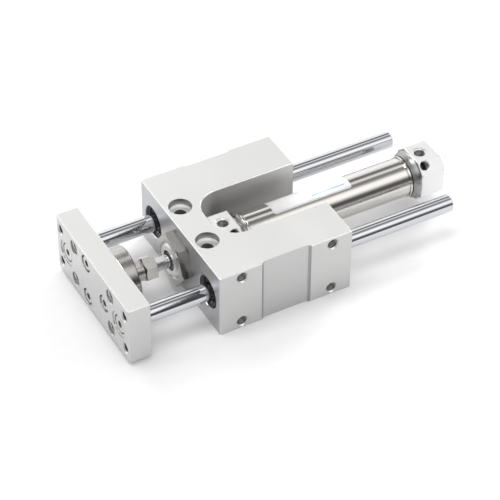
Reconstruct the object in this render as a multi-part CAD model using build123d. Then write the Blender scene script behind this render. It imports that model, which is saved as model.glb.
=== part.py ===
from build123d import *
import math
import os

# Guided pneumatic cylinder, bore 16 mm, stroke 50 mm, shown retracted.
# Origin: on the base, midway between the two cap-screw holes of the body.
# +X runs towards the rear of the cylinder, +Z is up, +Y is the left side.
# All sizes are in millimetres.

# Body block
body_length = 64.5
body_width = 73.5
body_height = 32.5
axis_height = 16.4
bridge_thickness = 14.0
slot_width = 29.5
slot_corner_radius = 11.0
body_corner_chamfer = 0.5
edge_break = 0.4
side_recess_length = 24.0
side_recess_depth = 1.2
recess_cutter_radius = 3.2

# Cap-screw holes through the bridge
mount_hole_inset = 7.0
mount_hole_spacing = 25.0
mount_hole_diameter = 5.6
mount_head_diameter = 10.5
mount_head_depth = 4.1

# Threaded holes in the sides of the body
side_thread_inset = 10.8
side_thread_pitch_x = 44.0
side_thread_pitch_z = 25.0
m5_core_diameter = 4.2
side_thread_depth = 10.0
thread_mouth_chamfer = 0.7

# Guide rods
rod_diameter = 8.0
rod_spacing = 51.0
rod_overrun = 7.7
rod_end_chamfer = 1.0
rod_seat_depth = 3.0

# Linear ball bearings and their retaining rings
bearing_diameter = 15.0
bearing_length = 24.0
bearing_mouth_depth = 2.6
bearing_land_height = 1.3
bore_mouth_chamfer = 0.5
ball_diameter = 1.5
ball_rows = 4
balls_in_row = 3
ball_pitch = 5.4
cage_end_gap = 0.1
seal_thickness = 1.1
seal_land_height = 1.05
sleeve_groove_depth = 0.35
sleeve_groove_width = 1.1
sleeve_groove_inset = 3.25
ring_thickness = 1.0
ring_groove_depth = 0.45
ring_height = 1.35
ring_gap_angle = 40.0
ring_lug_radius = 1.15
ring_lug_hole_radius = 0.5
ring_turn = 225.0

# Front plate
retracted_gap = 31.3
plate_thickness = 10.5
plate_width = 70.0
plate_height = 29.5
plate_edge_break = 0.35
plate_corner_pitch_y = 62.0
plate_inner_pitch_y = 35.0
plate_hole_pitch_z = 18.0
m8_core_diameter = 6.8
plate_inner_mouth = 0.25

# Socket screws: thread, head diameter, head height, key width, key depth
rod_screw_diameter = 5.0
rod_screw_head = 8.5
rod_screw_head_height = 3.5
rod_screw_key = 3.0
rod_screw_length = 17.0
rod_screw_seat_diameter = 9.0
rod_screw_recess_diameter = 12.3
rod_screw_recess_depth = 0.4
rod_screw_head_sink = 0.5
joint_screw_diameter = 4.0
joint_screw_head = 7.0
joint_screw_head_height = 4.0
joint_screw_key = 3.0
joint_screw_length = 10.5
joint_screw_seat_diameter = 8.0
joint_screw_circle = 22.0
screw_hole_play = 0.25
joint_screw_head_sink = 0.4
key_depth_share = 0.55

# Floating joint between plate and piston rod
joint_diameter = 28.0
joint_thickness = 6.7
joint_edge_break = 0.6
joint_float = 0.6
stud_head_diameter = 14.0
stud_head_height = 3.4
stud_neck_diameter = 9.0
stud_neck_reach = 6.4
stud_flat_width = 8.0
stud_flat_length = 4.0
stud_end_play = 0.3
pad_diameter = 12.0
pad_thickness = 2.0
rod_nut_width = 10.0
rod_nut_height = 5.6

# Cylinder
stroke = 50.0
cylinder_bore = 16.0
tube_wall = 1.1
tube_lip_height = 0.45
tube_lip_width = 1.0
tube_crimp_width = 0.6
tube_crimp_depth = 0.35
nose_diameter = 16.0
nose_proud = 0.4
nose_chamfer = 1.0
nose_relief_width = 1.6
nose_relief_depth = 0.7
nose_hole_play = 0.15
nut_width = 22.0
nut_height = 5.0
nut_turn = 8.0
block_width = 21.4
block_bevel = 4.6
block_edge_break = 0.3
block_edge_round = 0.8
front_block_length = 12.5
rear_block_length = 12.2
block_seat_play = 0.3
front_port_inset = 5.4
rear_port_inset = 4.9
side_hole_offset = 1.9
side_hole_rise = 1.0
side_hole_mouth = 0.3
side_hole_depth = 4.4
port_thread_depth = 4.6
port_passage_diameter = 2.5
port_spot_diameter = 6.4
port_spot_depth = 0.3
front_neck_height = 0.2
front_neck_length = 1.7
front_collar_height = 1.1
front_collar_length = 3.2
front_collar_round = 0.3
rear_collar_height = 2.1
rear_collar_drop = 1.6
rear_collar_length = 3.2
rear_collar_run = 1.0
collar_neck_length = 0.4
spigot_length = 4.3
o_ring_section = 1.3
air_chamber_diameter = 9.0

# Piston rod, its guide and its seals
piston_rod_diameter = 6.0
rod_flat_width = 5.0
rod_flat_length = 4.6
rod_thread_reach = 6.5
rod_thread_relief = 0.4
bush_wall = 1.4
bush_length = 12.0
seal_pocket_height = 1.8
rod_seal_length = 2.6
wiper_length = 2.2
wiper_sink = 0.3
pocket_gap = 0.3

# Piston
piston_front_length = 9.0
magnet_length = 3.4
piston_rear_length = 7.2
piston_play = 0.07
piston_groove_depth = 2.2
piston_groove_width = 2.4
piston_groove_inset = 1.8
wear_ring_width = 2.6
wear_ring_height = 0.8
wear_ring_inset = 1.0
magnet_hub_height = 1.9
rivet_neck_diameter = 4.0
rivet_head_diameter = 6.2
rivet_head_height = 1.4
bumper_thickness = 2.1
bumper_margin = 0.8
end_gap = 0.2

# Fits
running_gap = 0.03
seat_gap = 0.02

# Places along X
body_front = -mount_hole_inset
body_rear = body_front + body_length
slot_front = body_front + bridge_thickness
plate_rear = body_front - retracted_gap
plate_front = plate_rear - plate_thickness
rod_rear_end = body_rear + stroke + rod_overrun
joint_rear = plate_rear + joint_thickness
stud_rear = joint_rear + stud_neck_reach
rod_nut_rear = stud_rear + rod_nut_height
nut_front = body_front - nut_height
nose_front = nut_front - nose_proud
front_block_rear = slot_front + front_block_length
front_collar_rear = front_block_rear + front_collar_length
tube_front = front_collar_rear + collar_neck_length
front_spigot_end = tube_front + spigot_length
piston_length = piston_front_length + magnet_length + piston_rear_length
chamber_length = stroke + piston_length + 2 * bumper_thickness + 2 * end_gap
rear_spigot_end = front_spigot_end + chamber_length
tube_rear = rear_spigot_end + spigot_length
rear_collar_front = tube_rear + collar_neck_length
rear_block_front = rear_collar_front + rear_collar_length
rear_block_rear = rear_block_front + rear_block_length
piston_rear_face = rear_spigot_end - bumper_thickness - end_gap
piston_front_face = piston_rear_face - piston_length

# Radii that several pieces share
rod_r = rod_diameter / 2
guide_y = rod_spacing / 2
bearing_r = bearing_diameter / 2
guide_bore_r = bearing_r + seat_gap
race_r = rod_r + ball_diameter + 2 * running_gap
bore_r = cylinder_bore / 2
tube_r = bore_r + tube_wall
nose_r = nose_diameter / 2
piston_rod_r = piston_rod_diameter / 2
rod_hole_r = piston_rod_r + running_gap
chamber_r = air_chamber_diameter / 2

nodes = {}


def turned(outline, y=0.0):
    """Solid of revolution about the X direction, from (x, radius) points."""
    face = make_face(Plane.XZ * Polyline(*outline, close=True))
    return Pos(0, y, axis_height) * revolve(face, Axis.X)


def ring(x_start, x_end, inner, outer, y=0.0):
    """Plain ring from x_start to x_end."""
    return turned([(x_start, inner), (x_end, inner), (x_end, outer), (x_start, outer)], y)


def rod(x_start, x_end, radius, y=0.0, z=axis_height):
    """Plain cylinder along X."""
    centre = (x_start + x_end) / 2
    return Pos(centre, y, z) * Rot(0, 90, 0) * Cylinder(radius, x_end - x_start)


def prism_x(sketch, x_start, x_end, y=0.0, z=axis_height, turn=0.0):
    """Extrusion along X of a sketch that is drawn in the YZ plane."""
    plane = Plane((x_start, y, z), x_dir=(0, 1, 0), z_dir=(1, 0, 0))
    return extrude(plane * Rot(0, 0, turn) * sketch, x_end - x_start)


def hexagon(width):
    """Hexagon by its width across flats, with two flats level."""
    return RegularPolygon(width / 2, 6, major_radius=False, rotation=0)


def threaded_hole(position, direction, core, depth, mouth=thread_mouth_chamfer):
    """Cutter for a threaded hole with a chamfered mouth; direction points out of the mouth."""
    plane = Plane(position, z_dir=direction)
    core_r = core / 2
    lead = 0.5 * mouth
    drill = Pos(0, 0, -depth / 2 + lead) * Cylinder(core_r, depth + 2 * lead)
    sink = Cone(core_r, core_r + 2 * mouth, 2 * mouth)
    return plane * (drill + sink)


def socket_screw(x_head, y, z, diameter, head, head_height, key, length):
    """Socket head cap screw along +X, its head face at x_head."""
    body = rod(x_head, x_head + head_height, head / 2, y, z)
    rim = body.edges().filter_by(GeomType.CIRCLE).sort_by(Axis.X)[0]
    body = chamfer(rim, 0.06 * head)
    shank_end = x_head + head_height + length
    body += rod(x_head + head_height, shank_end, diameter / 2, y, z)
    socket = prism_x(hexagon(key), x_head, x_head + key_depth_share * head_height, y, z)
    return body - socket


def hex_nut(x_start, x_end, width, hole_radius, face_share, turn=0.0):
    """Hexagon nut; both faces are chamfered to a circle of face_share times its width."""
    blank = prism_x(hexagon(width), x_start, x_end, turn=turn)
    corner = width / math.sqrt(3)
    face_r = face_share * width / 2
    drop = (corner + 0.1 - face_r) * math.tan(math.radians(30))
    lathe = turned(
        [
            (x_start, 0),
            (x_end, 0),
            (x_end, face_r),
            (x_end - drop, corner + 0.1),
            (x_start + drop, corner + 0.1),
            (x_start, face_r),
        ]
    )
    mouth = 0.06 * width
    hole = turned(
        [
            (x_start, 0),
            (x_end, 0),
            (x_end, hole_radius + mouth / 2),
            (x_end - mouth / 2, hole_radius),
            (x_start + mouth / 2, hole_radius),
            (x_start, hole_radius + mouth / 2),
        ]
    )
    return (blank & lathe) - hole


def guide_body():
    """U-shaped block: bridge with the cylinder seat, two arms with the guide bores."""
    middle = body_height / 2
    block = Pos(body_front + body_length / 2, 0, middle) * Box(body_length, body_width, body_height)
    block = chamfer(block.edges().filter_by(Axis.Z), body_corner_chamfer)
    slot_length = body_rear - slot_front + slot_corner_radius
    slot = Pos(slot_front + slot_length / 2, 0, middle) * Box(slot_length, slot_width, 2 * body_height)
    inner_corners = slot.edges().filter_by(Axis.Z).sort_by(Axis.X)[:2]
    block -= fillet(inner_corners, slot_corner_radius)
    rims = block.faces().sort_by(Axis.Z)[-1].edges() + block.faces().sort_by(Axis.Z)[0].edges()
    block = chamfer(rims, edge_break)
    for side in (1, -1):
        block -= side_recess(side)
        block -= guide_bore(side * guide_y)
        block -= side_threads(side)
        block -= mount_hole(side * mount_hole_spacing / 2)
    block -= rod(body_front - 1, slot_front + 1, nose_r + nose_hole_play)
    half = block_width / 2
    seat_r = math.hypot(half, half - block_bevel) + block_seat_play
    block -= rod(slot_front, slot_front + slot_corner_radius, seat_r)
    return block


def side_recess(side):
    """Shallow milled pocket over the full height, with cutter-round ends."""
    run_out = math.sqrt(2 * recess_cutter_radius * side_recess_depth - side_recess_depth**2)
    centre = body_front + body_length / 2
    half = side_recess_length / 2
    floor = body_width / 2 - side_recess_depth
    tall = 2 * body_height
    width = 2 * recess_cutter_radius
    cutter = Pos(centre, floor + width / 2, 0) * Box(2 * (half - run_out), width, tall)
    for end in (1, -1):
        place = Pos(centre + end * (half - run_out), floor + recess_cutter_radius, 0)
        cutter += place * Cylinder(recess_cutter_radius, tall)
    return cutter if side > 0 else mirror(cutter, Plane.XZ)


def guide_bore(y):
    """Cutter for one arm: a bearing seat with a ring groove at each end, a land between them."""
    land_r = bearing_r - bearing_land_height
    mouth_r = guide_bore_r + bore_mouth_chamfer
    groove_r = guide_bore_r + ring_groove_depth
    front = [
        (0, mouth_r),
        (bore_mouth_chamfer, guide_bore_r),
        (bearing_mouth_depth - ring_thickness - seat_gap, guide_bore_r),
        (bearing_mouth_depth - ring_thickness - seat_gap, groove_r),
        (bearing_mouth_depth, groove_r),
        (bearing_mouth_depth, guide_bore_r),
        (bearing_mouth_depth + bearing_length, guide_bore_r),
        (bearing_mouth_depth + bearing_length, land_r),
    ]
    outline = [(body_front, 0)]
    outline += [(body_front + depth, radius) for depth, radius in front]
    outline += [(body_rear - depth, radius) for depth, radius in reversed(front)]
    outline += [(body_rear, 0)]
    return turned(outline, y)


def side_threads(side):
    """Four threaded holes in one side of the body."""
    holes = Part()
    face_y = side * body_width / 2
    for step_x in (0, side_thread_pitch_x):
        for step_z in (-0.5, 0.5):
            x = body_front + side_thread_inset + step_x
            z = body_height / 2 + step_z * side_thread_pitch_z
            holes += threaded_hole((x, face_y, z), (0, side, 0), m5_core_diameter, side_thread_depth)
    return holes


def mount_hole(y):
    """Counterbored cap-screw hole, from above."""
    through = Pos(0, y, body_height / 2) * Cylinder(mount_hole_diameter / 2, 2 * body_height)
    head = Pos(0, y, body_height) * Cylinder(mount_head_diameter / 2, 2 * mount_head_depth)
    return through + head


def plate_hole_places(pitch_y):
    """Four places on the front plate, about the cylinder's line."""
    return [
        (plate_front, sy * pitch_y / 2, axis_height + sz * plate_hole_pitch_z / 2)
        for sy in (1, -1)
        for sz in (1, -1)
    ]


def through_thread(place, core, mouth=thread_mouth_chamfer):
    """Threaded hole through the plate, chamfered at both mouths."""
    x, y, z = place
    near = threaded_hole((x, y, z), (-1, 0, 0), core, plate_thickness, mouth)
    far = threaded_hole((x + plate_thickness, y, z), (1, 0, 0), core, plate_thickness, mouth)
    return near + far


def joint_screw_places():
    """Places (y, z) of the three screws of the floating joint."""
    radius = joint_screw_circle / 2
    turns = [math.radians(angle) for angle in (60, 180, 300)]
    return [(radius * math.cos(a), axis_height + radius * math.sin(a)) for a in turns]


def front_plate():
    """Tool plate with its screw seats, rod seats and threads."""
    centre = (plate_front + plate_rear) / 2
    plate = Pos(centre, 0, axis_height) * Box(plate_thickness, plate_width, plate_height)
    plate = chamfer(plate.edges(), plate_edge_break)
    for place in plate_hole_places(plate_corner_pitch_y):
        plate -= through_thread(place, m5_core_diameter)
    for place in plate_hole_places(plate_inner_pitch_y):
        plate -= through_thread(place, m8_core_diameter, plate_inner_mouth)
    rod_seat_end = plate_front + rod_screw_head_height + rod_screw_head_sink
    joint_seat_end = plate_front + joint_screw_head_height + joint_screw_head_sink
    recess_end = plate_front + rod_screw_recess_depth
    for y in (guide_y, -guide_y):
        plate -= rod(plate_front - 1, plate_rear + 1, rod_screw_diameter / 2 + screw_hole_play, y)
        plate -= rod(plate_front - 1, rod_seat_end, rod_screw_seat_diameter / 2, y)
        plate -= rod(plate_front - 1, recess_end, rod_screw_recess_diameter / 2, y)
        plate -= rod(plate_rear - rod_seat_depth, plate_rear + 1, rod_r + seat_gap, y)
    for y, z in joint_screw_places():
        plate -= rod(plate_front - 1, plate_rear + 1, joint_screw_diameter / 2 + screw_hole_play, y, z)
        plate -= rod(plate_front - 1, joint_seat_end, joint_screw_seat_diameter / 2, y, z)
    plate -= rod(plate_rear - pad_thickness, plate_rear + 1, pad_diameter / 2 + seat_gap)
    return plate


def guide_rod(y):
    """Hard-chromed rod with a threaded hole in its front end."""
    start = plate_rear - rod_seat_depth
    screw_end = plate_front + rod_screw_head_sink + rod_screw_head_height + rod_screw_length
    thread_r = rod_screw_diameter / 2 + seat_gap
    lead = 0.3 * rod_end_chamfer
    body = turned(
        [
            (start, 0),
            (start, rod_r - lead),
            (start + lead, rod_r),
            (rod_rear_end - rod_end_chamfer, rod_r),
            (rod_rear_end, rod_r - rod_end_chamfer),
            (rod_rear_end, 0),
        ],
        y,
    )
    return body - rod(start - 1, screw_end + 1.5, thread_r, y)


def bearing_sleeve(x_start, y):
    """Hardened outer sleeve with two outside grooves and a seal pocket at each end."""
    x_end = x_start + bearing_length
    pocket_r = race_r + seal_land_height
    floor_r = bearing_r - sleeve_groove_depth
    first = x_start + sleeve_groove_inset
    second = x_end - sleeve_groove_inset - sleeve_groove_width
    blank = ring(x_start, x_end, race_r, bearing_r, y)
    blank = chamfer(blank.edges().filter_by(GeomType.CIRCLE).group_by(SortBy.RADIUS)[-1], edge_break)
    for groove in (first, second):
        blank -= ring(groove, groove + sleeve_groove_width, floor_r, bearing_r + 1, y)
    blank -= ring(x_start, x_start + seal_thickness, 0, pocket_r, y)
    blank -= ring(x_end - seal_thickness, x_end, 0, pocket_r, y)
    return blank


def ball_row_angles():
    return [360 / ball_rows * (row + 0.5) for row in range(ball_rows)]


def ball_cage(x_start, y):
    """Moulded cage with a window for each row of balls."""
    margin = seal_thickness + cage_end_gap
    x_end = x_start + bearing_length
    cage = ring(x_start + margin, x_end - margin, rod_r + 0.2 * ball_diameter, race_r - 2 * running_gap, y)
    window = (balls_in_row - 1) * ball_pitch + ball_diameter + 0.2
    centre = (x_start + x_end) / 2
    for angle in ball_row_angles():
        cutter = Pos(0, race_r, 0) * Box(window, 2 * ball_diameter, ball_diameter + 0.2)
        cage -= Pos(centre, y, axis_height) * Rot(angle, 0, 0) * cutter
    return cage


def ball_set(x_start, y):
    """Loaded balls between rod and sleeve."""
    pitch_r = rod_r + running_gap + ball_diameter / 2
    centre = x_start + bearing_length / 2
    first = centre - (balls_in_row - 1) * ball_pitch / 2
    balls = []
    for angle in ball_row_angles():
        turn = math.radians(angle)
        for index in range(balls_in_row):
            x = first + index * ball_pitch
            place = Pos(x, y + pitch_r * math.cos(turn), axis_height + pitch_r * math.sin(turn))
            balls.append(place * Sphere(ball_diameter / 2))
    return Compound(children=balls)


def bearing_seals(x_start, y):
    """Rubber lip seal in each end of a bearing."""
    outer = race_r + seal_land_height - seat_gap
    lip = rod_r + running_gap
    web = (lip + outer) / 2
    seals = []
    for outer_face, inward in ((x_start, 1), (x_start + bearing_length, -1)):
        seals.append(
            turned(
                [
                    (outer_face, outer),
                    (outer_face, web),
                    (outer_face + 0.3 * inward * seal_thickness, lip),
                    (outer_face + 0.7 * inward * seal_thickness, lip),
                    (outer_face + inward * seal_thickness, web),
                    (outer_face + inward * seal_thickness, outer),
                ],
                y,
            )
        )
    return Compound(children=seals)


def retaining_ring(x_start, y, turn):
    """Internal spring ring with two eyelets beside its gap."""
    outer = guide_bore_r + ring_groove_depth - seat_gap
    inner = outer - ring_height
    lug_circle = inner - 0.3 * ring_lug_radius
    band = Circle(outer) - Circle(inner)
    half_gap = math.radians(ring_gap_angle / 2)
    reach = 2 * outer
    wedge = make_face(
        Polyline(
            (0, 0),
            (reach * math.cos(half_gap), reach * math.sin(half_gap)),
            (reach * math.cos(half_gap), -reach * math.sin(half_gap)),
            close=True,
        )
    )
    band -= wedge
    lug_angle = half_gap + ring_lug_radius / lug_circle
    for sign in (1, -1):
        place = Pos(lug_circle * math.cos(lug_angle), sign * lug_circle * math.sin(lug_angle))
        band += place * Circle(ring_lug_radius)
        band -= place * Circle(ring_lug_hole_radius)
    return prism_x(band, x_start, x_start + ring_thickness, y, turn=turn)


def retaining_rings():
    """The four rings that hold the bearings, front and rear."""
    front_start = body_front + bearing_mouth_depth - ring_thickness
    rear_start = body_rear - bearing_mouth_depth
    rings = [retaining_ring(front_start, y, ring_turn) for y in (guide_y, -guide_y)]
    rings += [retaining_ring(rear_start, y, ring_turn) for y in (guide_y, -guide_y)]
    return Compound(children=rings)


def guide_rod_screws():
    head = plate_front + rod_screw_head_sink
    sizes = (rod_screw_diameter, rod_screw_head, rod_screw_head_height, rod_screw_key, rod_screw_length)
    return Compound(children=[socket_screw(head, y, axis_height, *sizes) for y in (guide_y, -guide_y)])


def joint_screws():
    head = plate_front + joint_screw_head_sink
    sizes = (
        joint_screw_diameter,
        joint_screw_head,
        joint_screw_head_height,
        joint_screw_key,
        joint_screw_length,
    )
    return Compound(children=[socket_screw(head, y, z, *sizes) for y, z in joint_screw_places()])


def joint_housing():
    """Round flange that traps the head of the stud against the plate."""
    outer = joint_diameter / 2
    cavity_r = stud_head_diameter / 2 + joint_float
    hole_r = stud_neck_diameter / 2 + joint_float
    cavity_end = plate_rear + stud_head_height + stud_end_play
    flange = turned(
        [
            (plate_rear, cavity_r),
            (cavity_end, cavity_r),
            (cavity_end, hole_r),
            (joint_rear, hole_r),
            (joint_rear, outer - joint_edge_break),
            (joint_rear - joint_edge_break, outer),
            (plate_rear, outer),
        ]
    )
    screw_end = plate_front + joint_screw_head_sink + joint_screw_head_height + joint_screw_length
    for y, z in joint_screw_places():
        flange -= rod(plate_rear - 1, screw_end + 0.5, joint_screw_diameter / 2 + seat_gap, y, z)
    return flange


def joint_stud():
    """Stud with a round head, wrench flats and a thread for the piston rod."""
    head_r = stud_head_diameter / 2
    neck_r = stud_neck_diameter / 2
    start = plate_rear + stud_end_play / 2
    head_end = start + stud_head_height
    crown = 0.15 * stud_head_height
    stud = turned(
        [
            (start, 0),
            (start, head_r - 2 * crown),
            (start + crown, head_r),
            (head_end - crown, head_r),
            (head_end, head_r - crown),
            (head_end, neck_r),
            (stud_rear - edge_break, neck_r),
            (stud_rear, neck_r - edge_break),
            (stud_rear, 0),
        ]
    )
    flat_centre = stud_rear - stud_flat_length / 2 - 2 * edge_break
    for side in (1, -1):
        place = Pos(flat_centre, 0, axis_height + side * (stud_flat_width / 2 + neck_r))
        stud -= place * Box(stud_flat_length, 2 * stud_neck_diameter, 2 * neck_r)
    hole_start = stud_rear - rod_thread_reach - 0.5
    return stud - rod(hole_start, stud_rear + 1, piston_rod_r + seat_gap)


def piston_rod():
    """Ground rod: thread and wrench flats in front, riveted neck behind."""
    tip = stud_rear - rod_thread_reach
    relief_r = piston_rod_r - rod_thread_relief
    neck_r = rivet_neck_diameter / 2
    head_r = rivet_head_diameter / 2
    rivet = piston_rear_face - rivet_head_height
    relief_end = rod_nut_rear + 2 * rod_thread_relief
    shaft = turned(
        [
            (tip, 0),
            (tip, relief_r),
            (tip + rod_thread_relief, piston_rod_r),
            (rod_nut_rear, piston_rod_r),
            (rod_nut_rear, relief_r),
            (relief_end, relief_r),
            (relief_end, piston_rod_r),
            (piston_front_face, piston_rod_r),
            (piston_front_face, neck_r),
            (rivet, neck_r),
            (rivet, head_r),
            (piston_rear_face, head_r),
            (piston_rear_face, 0),
        ]
    )
    centre = relief_end + rod_flat_length / 2
    for side in (1, -1):
        place = Pos(centre, 0, axis_height + side * (rod_flat_width / 2 + piston_rod_r))
        shaft -= place * Box(rod_flat_length, 2 * piston_rod_diameter, piston_rod_diameter)
    return shaft


def cover_blank(block_start, block_end, tube_side, collar):
    """Bevelled block with its collar, neck and spigot; tube_side is 1 or -1 along X."""
    plan = Rectangle(block_width, block_width)
    plan = chamfer(plan.vertices(), block_bevel)
    block = prism_x(plan, block_start, block_end)
    ends = block.faces().sort_by(Axis.X)
    if tube_side > 0:
        block = chamfer(ends[-1].edges(), block_edge_break)
    else:
        block = fillet(ends[0].edges() + ends[-1].edges(), block_edge_round)
    joint = block_end if tube_side > 0 else block_start
    neck_r = tube_r - 2 * tube_lip_height
    spigot_r = bore_r - seat_gap
    groove_r = bore_r - o_ring_section - seat_gap
    collar_length = collar[-1][0]
    base = collar_length + collar_neck_length
    inside = collar[0][0] - 1
    steps = [(inside, 0), (inside, collar[0][1])] + collar
    steps += [
        (collar_length, neck_r),
        (base, neck_r),
        (base, spigot_r),
    ]
    groove = base + (spigot_length - o_ring_section) / 2 - seat_gap
    steps += [
        (groove, spigot_r),
        (groove, groove_r),
        (groove + o_ring_section + 2 * seat_gap, groove_r),
        (groove + o_ring_section + 2 * seat_gap, spigot_r),
        (base + spigot_length, spigot_r),
        (base + spigot_length, 0),
    ]
    return block + turned([(joint + tube_side * step, radius) for step, radius in steps])


def port(x):
    """Cutter for an air port on top of a cover: spot face, thread and passage."""
    top = axis_height + block_width / 2
    spot = Pos(x, 0, top) * Cylinder(port_spot_diameter / 2, 2 * port_spot_depth)
    face = top - port_spot_depth
    thread = threaded_hole((x, 0, face), (0, 0, 1), m5_core_diameter, port_thread_depth)
    depth = face - axis_height
    passage = Pos(x, 0, axis_height + depth / 2) * Cylinder(port_passage_diameter / 2, depth)
    return spot + thread + passage


def bevel_hole(x):
    """Cutter for the threaded hole in the right upper bevel of a cover."""
    half = block_width / 2
    middle = half - block_bevel / 2
    rise = side_hole_rise / math.sqrt(2)
    mouth = (x, rise - middle, axis_height + middle + rise)
    return threaded_hole(mouth, (0, -1, 1), m5_core_diameter, side_hole_depth, side_hole_mouth)


def wiper_start():
    return nose_front + wiper_sink


def rod_seal_start():
    return wiper_start() + wiper_length + pocket_gap


def bush_start():
    return rod_seal_start() + rod_seal_length


def front_cover():
    """Front cover: threaded nose, block, collar and spigot, bored for bush and seals."""
    relief_r = nose_r - nose_relief_depth
    nose = turned(
        [
            (nose_front, 0),
            (nose_front, nose_r - nose_chamfer),
            (nose_front + nose_chamfer, nose_r),
            (slot_front - nose_relief_width, nose_r),
            (slot_front - nose_relief_width, relief_r),
            (slot_front + 1, relief_r),
            (slot_front + 1, 0),
        ]
    )
    neck_r = tube_r + front_neck_height
    collar_r = tube_r + front_collar_height
    collar = [
        (0, neck_r),
        (front_neck_length, neck_r),
        (front_neck_length, collar_r - front_collar_round),
        (front_neck_length + front_collar_round, collar_r),
        (front_collar_length - front_collar_round, collar_r),
        (front_collar_length, collar_r - front_collar_round),
    ]
    cover = nose + cover_blank(slot_front, front_block_rear, 1, collar)
    pocket_r = piston_rod_r + seal_pocket_height
    bush_r = rod_hole_r + bush_wall + seat_gap
    bush_end = bush_start() + bush_length
    cover -= turned(
        [
            (nose_front - 1, 0),
            (nose_front - 1, pocket_r),
            (bush_start(), pocket_r),
            (bush_start(), bush_r),
            (bush_end, bush_r),
            (bush_end, chamber_r),
            (front_spigot_end + 1, chamber_r),
            (front_spigot_end + 1, 0),
        ]
    )
    cover -= port(front_block_rear - front_port_inset)
    cover -= bevel_hole(front_block_rear - front_port_inset + side_hole_offset)
    return cover


def rear_cover():
    """Rear cover: spigot, collar and block with the rear port."""
    collar_r = tube_r + rear_collar_height
    collar = [
        (-rear_collar_run, collar_r - 0.65 * rear_collar_drop),
        (-0.5 * rear_collar_run, collar_r - 0.25 * rear_collar_drop),
        (0, collar_r - 0.05 * rear_collar_drop),
        (0.13 * rear_collar_length, collar_r),
        (0.40 * rear_collar_length, collar_r - 0.15 * rear_collar_drop),
        (0.65 * rear_collar_length, collar_r - 0.42 * rear_collar_drop),
        (0.85 * rear_collar_length, collar_r - 0.75 * rear_collar_drop),
        (rear_collar_length, collar_r - rear_collar_drop),
    ]
    cover = cover_blank(rear_block_front, rear_block_rear, -1, collar)
    port_x = rear_block_front + rear_port_inset
    cover -= rod(rear_spigot_end - 1, port_x, rivet_neck_diameter / 2)
    cover -= port(port_x)
    cover -= bevel_hole(port_x - side_hole_offset)
    return cover


def cylinder_tube():
    """Stainless tube with a rolled lip and a crimp line at each end."""
    lip_r = tube_r + tube_lip_height
    line_r = tube_r - tube_crimp_depth
    end = [
        (0, bore_r),
        (0, lip_r - 0.2),
        (0.2, lip_r),
        (tube_lip_width, lip_r),
        (tube_lip_width, line_r),
        (tube_lip_width + tube_crimp_width, line_r),
        (tube_lip_width + tube_crimp_width, tube_r),
    ]
    outline = [(tube_front + depth, radius) for depth, radius in end]
    outline += [(tube_rear - depth, radius) for depth, radius in reversed(end)]
    return turned(outline)


def o_ring(spigot_face, inward):
    """O-ring in the groove of a spigot."""
    section_r = o_ring_section / 2
    x = spigot_face - inward * spigot_length / 2
    place = Pos(x, 0, axis_height) * Rot(0, 90, 0)
    return place * Torus(bore_r - section_r - seat_gap / 2, section_r)


def lip_seal(x_open, x_back, inner, outer):
    """U-cup seal, open towards x_open."""
    width = x_back - x_open
    middle = (inner + outer) / 2
    spread = 0.28 * (outer - inner)
    return turned(
        [
            (x_open, inner),
            (x_open, middle - spread),
            (x_open + 0.55 * width, middle),
            (x_open, middle + spread),
            (x_open, outer),
            (x_open + 0.3 * width, outer),
            (x_back, outer - 0.1 * (outer - inner)),
            (x_back, inner),
        ]
    )


def rod_wiper():
    """Wiper in the mouth of the nose, with its lip on the rod."""
    outer = piston_rod_r + seal_pocket_height - seat_gap
    start = wiper_start()
    end = start + wiper_length
    return turned(
        [
            (start, rod_hole_r),
            (start, rod_hole_r + 0.3),
            (start + 0.4 * wiper_length, outer - 0.5),
            (start + 0.4 * wiper_length, outer),
            (end, outer),
            (end, rod_hole_r + 0.5),
        ]
    )


def piston_front():
    """Front half of the piston: seal groove, wear-ring groove, hub for the magnet."""
    outer = bore_r - piston_play
    neck_r = rivet_neck_diameter / 2 + seat_gap
    hub_r = neck_r + magnet_hub_height
    end = piston_front_face + piston_front_length
    body = ring(piston_front_face, end, neck_r, outer)
    body += ring(end - 1, end + magnet_length, neck_r, hub_r)
    seal_from = piston_front_face + piston_groove_inset
    body -= ring(seal_from, seal_from + piston_groove_width, outer - piston_groove_depth, outer + 1)
    wear_from = seal_from + piston_groove_width + wear_ring_inset
    wear_to = wear_from + wear_ring_width + 2 * seat_gap
    return body - ring(wear_from, wear_to, outer - wear_ring_height, outer + 1)


def piston_rear():
    """Rear half of the piston: seal groove and the recess for the riveted rod end."""
    outer = bore_r - piston_play
    neck_r = rivet_neck_diameter / 2 + seat_gap
    start = piston_rear_face - piston_rear_length
    body = ring(start, piston_rear_face, neck_r, outer)
    recess_r = rivet_head_diameter / 2 + seat_gap
    body -= rod(piston_rear_face - rivet_head_height, piston_rear_face + 1, recess_r)
    seal_to = piston_rear_face - piston_groove_inset
    return body - ring(seal_to - piston_groove_width, seal_to, outer - piston_groove_depth, outer + 1)


def piston_seal(groove_start, opens_forward):
    inner = bore_r - piston_play - piston_groove_depth + seat_gap
    outer = bore_r - running_gap
    low = groove_start + 2 * seat_gap
    high = groove_start + piston_groove_width - 2 * seat_gap
    return lip_seal(low, high, inner, outer) if opens_forward else lip_seal(high, low, inner, outer)


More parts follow.
